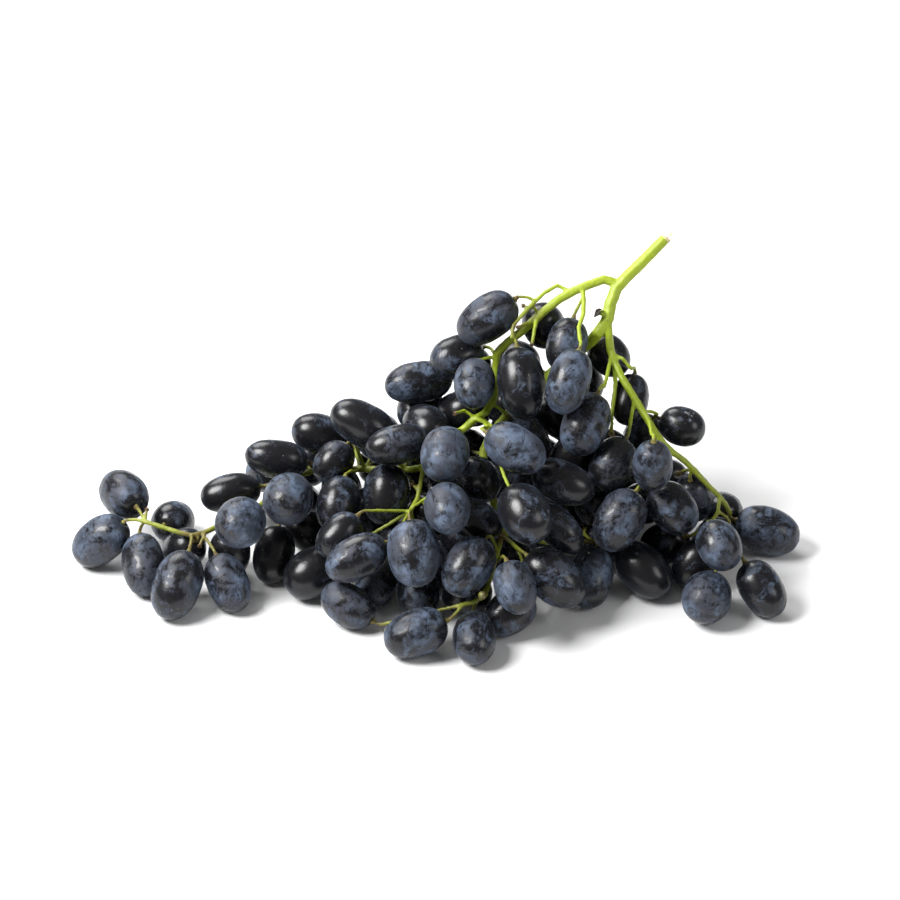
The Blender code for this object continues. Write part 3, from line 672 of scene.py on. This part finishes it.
class GRAPES_OT_collars(bpy.types.Operator):
    """Makes the small warty collar by which each stalk holds its berry"""

    bl_idname = "grapes.collars"
    bl_label = "Make the collars"

    def execute(self, context):
        props = context.scene.grape_stem
        pattern = self.pattern()
        made = []
        for number, (_, middle, axis, wide, long) in enumerate(measured_berries()):
            seat = middle + axis * (long * 0.975)
            turn = Matrix.Translation(seat) @ turned_to(axis, number * 1.3)
            size = (0.9 + 0.25 * ((number * 5) % 7) / 6) * MM
            made.append(copy_of(pattern, "collar", turn @ Matrix.Scale(size, 4)))
        bpy.data.objects.remove(pattern)
        collars = joined("stalk_collars", made)
        finish_piece(collars, plain_finish("stalk_collar", tuple(props.olive), tuple(props.brown), 2.0, 0.6), "stem")
        return {"FINISHED"}

    def pattern(self):
        """A collar about 2 across: a disc drawn up into the stalk, with a lumpy rim."""
        start_fresh()
        bpy.ops.mesh.primitive_cylinder_add(vertices=12, radius=1.15, depth=0.5)
        collar = bpy.context.object
        bpy.ops.object.mode_set(mode="EDIT")
        bpy.ops.mesh.select_all(action="DESELECT")
        shape = bmesh.from_edit_mesh(collar.data)
        for face in shape.faces:
            face.select = face.normal.z > 0.9
        bmesh.update_edit_mesh(collar.data)
        bpy.ops.mesh.inset(thickness=0.3, depth=0.15)
        bpy.ops.mesh.extrude_region_move(TRANSFORM_OT_translate={"value": (0, 0, 0.6)})
        bpy.ops.transform.resize(value=(0.8, 0.8, 1.0))
        bpy.ops.mesh.extrude_region_move(TRANSFORM_OT_translate={"value": (0, 0, 0.7)})
        bpy.ops.object.mode_set(mode="OBJECT")
        round_off = collar.modifiers.new("round", "SUBSURF")
        round_off.levels = round_off.render_levels = 1
        bpy.ops.object.modifier_apply(modifier=round_off.name)
        for vert in collar.data.vertices:
            lump = noise.noise(vert.co * 2.3)
            vert.co.xy *= 1.0 + 0.28 * lump
        return collar


class GRAPES_OT_cut_end(bpy.types.Operator):
    """Makes the cut end of the stalk: a pale pith inside a torn green rim, with fibres standing out"""

    bl_idname = "grapes.cut_end"
    bl_label = "Make the cut end"

    def execute(self, context):
        end, before = place(CUT_END), place(CUT_FROM)
        way = (end - before).normalized()
        start_fresh()
        bpy.ops.mesh.primitive_circle_add(vertices=28, radius=2.15 * MM, fill_type="NGON")
        cut = bpy.context.object
        bpy.ops.object.mode_set(mode="EDIT")
        bpy.ops.mesh.select_all(action="SELECT")
        bpy.ops.mesh.extrude_region_move(TRANSFORM_OT_translate={"value": (0, 0, 0.9 * MM)})
        bpy.ops.mesh.inset(thickness=0.35 * MM, depth=0.1 * MM)
        bpy.ops.mesh.inset(thickness=0.5 * MM, depth=-0.25 * MM)
        bpy.ops.mesh.inset(thickness=0.5 * MM, depth=0.15 * MM)
        bpy.ops.mesh.select_all(action="SELECT")
        bpy.ops.mesh.normals_make_consistent(inside=False)
        bpy.ops.object.mode_set(mode="OBJECT")
        round_off = cut.modifiers.new("round", "SUBSURF")
        round_off.levels = round_off.render_levels = 2
        bpy.ops.object.modifier_apply(modifier=round_off.name)
        for vert in cut.data.vertices:
            if vert.co.z > 0.5 * MM:
                vert.co.z += 0.5 * MM * noise.noise(vert.co / (0.9 * MM))
        cut.data.transform(Matrix.Translation(end - way * 0.6 * MM) @ turned_to(way))
        fibres = [self.fibre(end, way, number) for number in range(9)]
        piece = joined("stalk_cut_end", [cut, *fibres, self.wisp(end, way)])
        pale = plain_finish("stalk_pith", (0.86, 0.82, 0.62), (0.62, 0.46, 0.20), 1.6, 0.62, 0.5)
        finish_piece(piece, pale, "stem")
        return {"FINISHED"}

    def wisp(self, end, way):
        """The long torn strip of pith that stands out of the cut, flat and pointed."""
        start_fresh()
        bpy.ops.mesh.primitive_cone_add(vertices=12, radius1=1.0 * MM, radius2=0.06 * MM, depth=7.0 * MM)
        strip = bpy.context.object
        bpy.ops.object.mode_set(mode="EDIT")
        bpy.ops.mesh.select_all(action="SELECT")
        bpy.ops.mesh.subdivide(number_cuts=3)
        bpy.ops.transform.resize(value=(1.0, 0.45, 1.0))
        bpy.ops.object.mode_set(mode="OBJECT")
        for vert in strip.data.vertices:
            vert.co.xy *= 1.0 + 0.5 * noise.noise(vert.co / (1.1 * MM))
            vert.co.x += 0.35 * MM * noise.noise(Vector((vert.co.z / (2.0 * MM), 3.0, 0.0)))
        lean = (way + ACROSS * 0.30).normalized()
        strip.data.transform(Matrix.Translation(end + lean * 3.0 * MM) @ turned_to(lean))
        return strip

    def fibre(self, end, way, number):
        """One torn thread at the rim, the longest on the far side of the cut."""
        start_fresh()
        turn = number * 2.4
        side = (turned_to(way) @ Vector((math.cos(turn), math.sin(turn), 0))).normalized()
        length = (0.7 + 1.6 * max(0.0, side.dot(ACROSS)) + 0.3 * (number % 3)) * MM
        bpy.ops.mesh.primitive_cone_add(vertices=6, radius1=0.22 * MM, radius2=0.05 * MM, depth=length)
        thread = bpy.context.object
        lean = (way + side * 0.35).normalized()
        seat = end + side * 1.65 * MM + lean * length * 0.35
        thread.data.transform(Matrix.Translation(seat) @ turned_to(lean))
        return thread


class GRAPES_OT_stubs(bpy.types.Operator):
    """Makes the dried brushes on the bare stalks that berries have come away from"""

    bl_idname = "grapes.stubs"
    bl_label = "Make the bare stalk ends"

    def execute(self, context):
        pattern = self.pattern()
        made = []
        for number, (before, tip) in enumerate(STUBS):
            end = place(tip)
            way = (end - place(before)).normalized()
            turn = Matrix.Translation(end - way * 0.35 * MM) @ turned_to(way, number * 1.1)
            made.append(copy_of(pattern, "brush", turn @ Matrix.Scale((0.85 + 0.05 * (number % 4)) * MM, 4)))
        bpy.data.objects.remove(pattern)
        brushes = joined("stalk_brushes", made)
        dried = plain_finish("dried_brush", (0.17, 0.105, 0.040), (0.040, 0.024, 0.012), 0.9, 0.7, 0.6)
        finish_piece(brushes, dried, "stem")
        return {"FINISHED"}

    def pattern(self):
        """A flared, warty disc with a tuft of short threads, about 2.4 across."""
        start_fresh()
        bpy.ops.mesh.primitive_cylinder_add(vertices=14, radius=0.62, depth=0.8)
        disc = bpy.context.object
        bpy.ops.object.mode_set(mode="EDIT")
        select_where(disc, lambda spot: spot.z > 0)
        bpy.ops.transform.resize(value=(1.7, 1.7, 1.0))
        bpy.ops.mesh.extrude_region_move(TRANSFORM_OT_translate={"value": (0, 0, 0.35)})
        bpy.ops.transform.resize(value=(0.7, 0.7, 1.0))
        bpy.ops.object.mode_set(mode="OBJECT")
        round_off = disc.modifiers.new("round", "SUBSURF")
        round_off.levels = round_off.render_levels = 2
        bpy.ops.object.modifier_apply(modifier=round_off.name)
        for vert in disc.data.vertices:
            vert.co *= 1.0 + 0.3 * noise.noise(vert.co * 2.0)
        threads = []
        for number in range(7):
            bpy.ops.mesh.primitive_cone_add(vertices=5, radius1=0.16, radius2=0.04, depth=1.0)
            thread = bpy.context.object
            turn = number * 2.399
            out = 0.5 * math.sqrt(number / 7)
            lean = Vector((math.cos(turn) * out, math.sin(turn) * out, 0.9)).normalized()
            thread.data.transform(Matrix.Translation(lean * 0.9) @ turned_to(lean))
            threads.append(thread)
        return joined("brush_pattern", [disc, *threads])


class GRAPES_OT_bract(bpy.types.Operator):
    """Makes the black, shrivelled scale that hangs on at the stalk's first joint"""

    bl_idname = "grapes.bract"
    bl_label = "Make the dried scale"

    def execute(self, context):
        start_fresh()
        bpy.ops.mesh.primitive_grid_add(x_subdivisions=14, y_subdivisions=18, size=1.0)
        scale = bpy.context.object
        # A pointed leaf shape, cupped across and crumpled.
        for vert in scale.data.vertices:
            along = vert.co.y + 0.5
            half = 1.15 * math.sin(math.pi * min(1.0, along * 0.9 + 0.08)) ** 0.7
            across = vert.co.x * 2 * half
            cup = 0.55 * across * across + 0.5 * math.sin(along * 5.0)
            crumple = noise.noise(Vector((across * 1.3, along * 4.0, 2.0))) * 0.6
            vert.co = Vector((across, along * 4.2, cup + crumple)) * MM
        wall = scale.modifiers.new("wall", "SOLIDIFY")
        wall.thickness = 0.25 * MM
        bpy.ops.object.modifier_apply(modifier=wall.name)
        way = (-ACROSS * 0.80 - UPWARDS * 0.45 + TOWARDS * 0.35).normalized()
        turn = way.to_track_quat("Y", "Z").to_matrix().to_4x4()
        scale.data.transform(Matrix.Translation(place(BRACT_AT) - way * 1.6 * MM) @ turn)
        scale.name = scale.data.name = "dried_scale"
        black = plain_finish("dried_scale", (0.014, 0.010, 0.008), (0.050, 0.034, 0.020), 1.5, 0.7, 0.6)
        finish_piece(scale, black, "stem")
        return {"FINISHED"}


class GRAPES_OT_shot_berry(bpy.types.Operator):
    """Makes the tiny berry that never swelled, on its own thread of a stalk"""

    bl_idname = "grapes.shot_berry"
    bl_label = "Make the undeveloped berry"

    def execute(self, context):
        middle, root = place(SHOT_BERRY_AT), place(SHOT_BERRY_FROM)
        way = (root - middle).normalized()
        start_fresh()
        bpy.ops.mesh.primitive_uv_sphere_add(segments=24, ring_count=16, radius=1.0)
        tiny = bpy.context.object
        bpy.ops.object.mode_set(mode="EDIT")
        select_where(tiny, lambda spot: spot.z > 0.9)
        bpy.ops.transform.translate(value=(0, 0, -0.12), use_proportional_edit=True, proportional_size=0.5)
        bpy.ops.object.mode_set(mode="OBJECT")
        for vert in tiny.data.vertices:
            vert.co *= 1.0 + 0.1 * noise.noise(vert.co * 1.5)
        size = Matrix.Diagonal((1.5 * MM, 1.5 * MM, 1.9 * MM, 1.0))
        tiny.data.transform(Matrix.Translation(middle) @ turned_to(way) @ size)
        gap = (root - middle).length - 1.6 * MM
        bpy.ops.mesh.primitive_cylinder_add(vertices=10, radius=0.4 * MM, depth=gap)
        thread = bpy.context.object
        thread.data.transform(Matrix.Translation(middle + way * (1.6 * MM + gap / 2)) @ turned_to(way))
        piece = joined("undeveloped_berry", [tiny, thread])
        finish = plain_finish("undeveloped_berry", (0.16, 0.17, 0.035), (0.085, 0.060, 0.025), 1.6, 0.4)
        finish_piece(piece, finish, "skin")
        return {"FINISHED"}


class GRAPES_OT_splits(bpy.types.Operator):
    """Makes the healed splits: dark slits with raised lips in the skin of three berries"""

    bl_idname = "grapes.splits"
    bl_label = "Make the healed splits"

    # The berry, the way from its middle (right, up, near), how the slit is turned, its length and width.
    SPLITS = (
        ("berry_tail_05", (0.66, -0.42, 0.62), 95, 7.5, 1.0),
        ("berry_top_08", (-0.25, -0.05, 0.95), 70, 6.0, 0.9),
        ("berry_front_06", (0.10, 0.28, 0.95), 98, 10.5, 0.5),
    )

    def execute(self, context):
        slits = [self.slit(berry_named(node), *rest) for node, *rest in self.SPLITS]
        piece = joined("healed_splits", slits)
        corky = plain_finish("healed_split", (0.020, 0.014, 0.011), (0.004, 0.003, 0.003), 0.9, 0.6, 0.6)
        finish_piece(piece, corky, "skin")
        return {"FINISHED"}

    def slit(self, berry, way, turn, length, width):
        """A slit drawn on a berry's skin: a flat bead with a furrow down its middle."""
        start_fresh()
        bpy.ops.mesh.primitive_uv_sphere_add(segments=24, ring_count=14, radius=1.0)
        bead = bpy.context.object
        bpy.ops.object.mode_set(mode="EDIT")
        select_where(bead, lambda spot: abs(spot.y) < 0.25 and spot.z > 0.5)
        bpy.ops.transform.translate(value=(0, 0, -0.5))
        bpy.ops.object.mode_set(mode="OBJECT")
        seat, normal = skin_spot(berry, ACROSS * way[0] + UPWARDS * way[1] + TOWARDS * way[2])
        up = (UPWARDS - normal * UPWARDS.dot(normal)).normalized()
        angle = math.radians(turn)
        run = (up.cross(normal) * math.cos(angle) + up * math.sin(angle)).normalized()
        side = normal.cross(run)
        for vert in bead.data.vertices:
            along, across, rise = vert.co
            wander = 0.3 * noise.noise(Vector((along * length / 2.6, 0.0, 0.0)))
            spot = seat + (run * along * length / 2 + side * (across * width / 2 + wander)) * MM
            foot, out = skin_spot(berry, spot - berry[1])
            vert.co = foot + out * rise * 0.22 * MM
        return bead


class GRAPES_OT_droplets(bpy.types.Operator):
    """Makes a few droplets of water on the berry that hangs furthest out at the right shoulder"""

    bl_idname = "grapes.droplets"
    bl_label = "Make the droplets"

    # To the right, up and towards the eye from the berry's middle, and the droplet's size.
    DROPS = (
        (0.30, 0.62, 0.72, 1.5), (0.45, 0.48, 0.75, 1.0), (0.16, 0.70, 0.70, 0.9),
        (0.52, 0.62, 0.58, 0.8), (-0.55, 0.25, 0.80, 0.7), (0.36, 0.30, 0.88, 0.6),
    )

    def execute(self, context):
        berry = berry_named("berry_right_02")
        drops = []
        for number, (right, up, near, size) in enumerate(self.DROPS):
            seat, way = skin_spot(berry, ACROSS * right + UPWARDS * up + TOWARDS * near)
            start_fresh()
            bpy.ops.mesh.primitive_uv_sphere_add(segments=18, ring_count=12, radius=size / 2 * MM)
            drop = bpy.context.object
            bpy.ops.object.mode_set(mode="EDIT")
            bpy.ops.mesh.select_all(action="SELECT")
            bpy.ops.transform.resize(value=(1.0, 0.8 + 0.06 * number, 0.55))
            bpy.ops.object.mode_set(mode="OBJECT")
            drop.data.transform(Matrix.Translation(seat + way * 0.1 * MM) @ turned_to(way, number))
            drops.append(drop)
        piece = joined("droplets", drops)
        finish_piece(piece, water_finish(), "skin")
        return {"FINISHED"}


class GRAPES_OT_stage(bpy.types.Operator):
    """Makes the pale table, the soft lights and the camera"""

    bl_idname = "grapes.stage"
    bl_label = "Make the stage"

    def execute(self, context):
        props = context.scene.grape_stage
        self.table(props)
        self.light("main", (-0.80, -0.22, 1.02), 0.70, props.key_power)
        self.light("back", (-0.45, 0.85, 0.85), 0.80, props.back_power)
        self.light("right", (1.05, -0.55, 0.80), 0.60, props.fill_power)
        context.scene.view_settings.view_transform = "Standard"
        world = bpy.data.worlds.new("surroundings")
        world.use_nodes = True
        world.node_tree.nodes["Background"].inputs["Color"].default_value = (1.0, 1.0, 1.0, 1.0)
        world.node_tree.nodes["Background"].inputs["Strength"].default_value = props.sky
        context.scene.world = world
        aim = layout_shift()
        data = bpy.data.cameras.new("camera")
        data.lens = props.lens
        data.sensor_width = 36.0
        data.clip_end = 30.0
        camera = bpy.data.objects.new("camera", data)
        context.scene.collection.objects.link(camera)
        camera.location = aim + TOWARDS * props.eye_distance
        camera.rotation_euler = (-TOWARDS).to_track_quat("-Z", "Y").to_euler()
        context.scene.camera = camera
        return {"FINISHED"}

    def table(self, props):
        start_fresh()
        bpy.ops.mesh.primitive_plane_add(size=8.0, location=(0, 0, -0.0002))
        table = bpy.context.object
        table.name = "table"
        finish = Finish("table_top")
        shade = finish.mix(finish.noise(60.0), tuple(props.floor), tuple(c * 0.985 for c in props.floor))
        finish.link(shade, finish.shader.inputs["Base Color"])
        finish.shader.inputs["Roughness"].default_value = 0.7
        table.data.materials.append(finish.material)

    def light(self, name, spot, size, power):
        data = bpy.data.lights.new(name, "AREA")
        data.shape = "DISK"
        data.size = size
        data.energy = power
        lamp = bpy.data.objects.new(name, data)
        bpy.context.scene.collection.objects.link(lamp)
        lamp.location = spot
        lamp.rotation_euler = (Vector((0, 0, 0.03)) - Vector(spot)).to_track_quat("-Z", "Y").to_euler()


OPERATORS = (
    GRAPES_OT_berries,
    GRAPES_OT_stem,
    GRAPES_OT_collars,
    GRAPES_OT_cut_end,
    GRAPES_OT_stubs,
    GRAPES_OT_bract,
    GRAPES_OT_shot_berry,
    GRAPES_OT_splits,
    GRAPES_OT_droplets,
    GRAPES_OT_stage,
)


class GRAPES_PT_panel(bpy.types.Panel):
    """Lists the operators in the order that makes the bunch"""

    bl_idname = "GRAPES_PT_panel"
    bl_label = "Bunch of Grapes"
    bl_space_type = "VIEW_3D"
    bl_region_type = "UI"
    bl_category = "Grapes"

    def draw(self, context):
        for operator in OPERATORS:
            self.layout.operator(operator.bl_idname)


PROPERTIES = {
    "grape_berries": GrapeBerryProps,
    "grape_stem": GrapeStemProps,
    "grape_stage": GrapeStageProps,
}
CLASSES = (*PROPERTIES.values(), *OPERATORS, GRAPES_PT_panel)


def register():
    for made in CLASSES:
        bpy.utils.register_class(made)
    for name, group in PROPERTIES.items():
        setattr(bpy.types.Scene, name, PointerProperty(type=group))


def unregister():
    for name in PROPERTIES:
        delattr(bpy.types.Scene, name)
    for made in reversed(CLASSES):
        bpy.utils.unregister_class(made)


def main():
    register()
    bpy.ops.grapes.berries()
    bpy.ops.grapes.stem()
    bpy.ops.grapes.collars()
    bpy.ops.grapes.cut_end()
    bpy.ops.grapes.stubs()
    bpy.ops.grapes.bract()
    bpy.ops.grapes.shot_berry()
    bpy.ops.grapes.splits()
    bpy.ops.grapes.droplets()
    bpy.ops.grapes.stage()


if __name__ == "__main__":
    main()
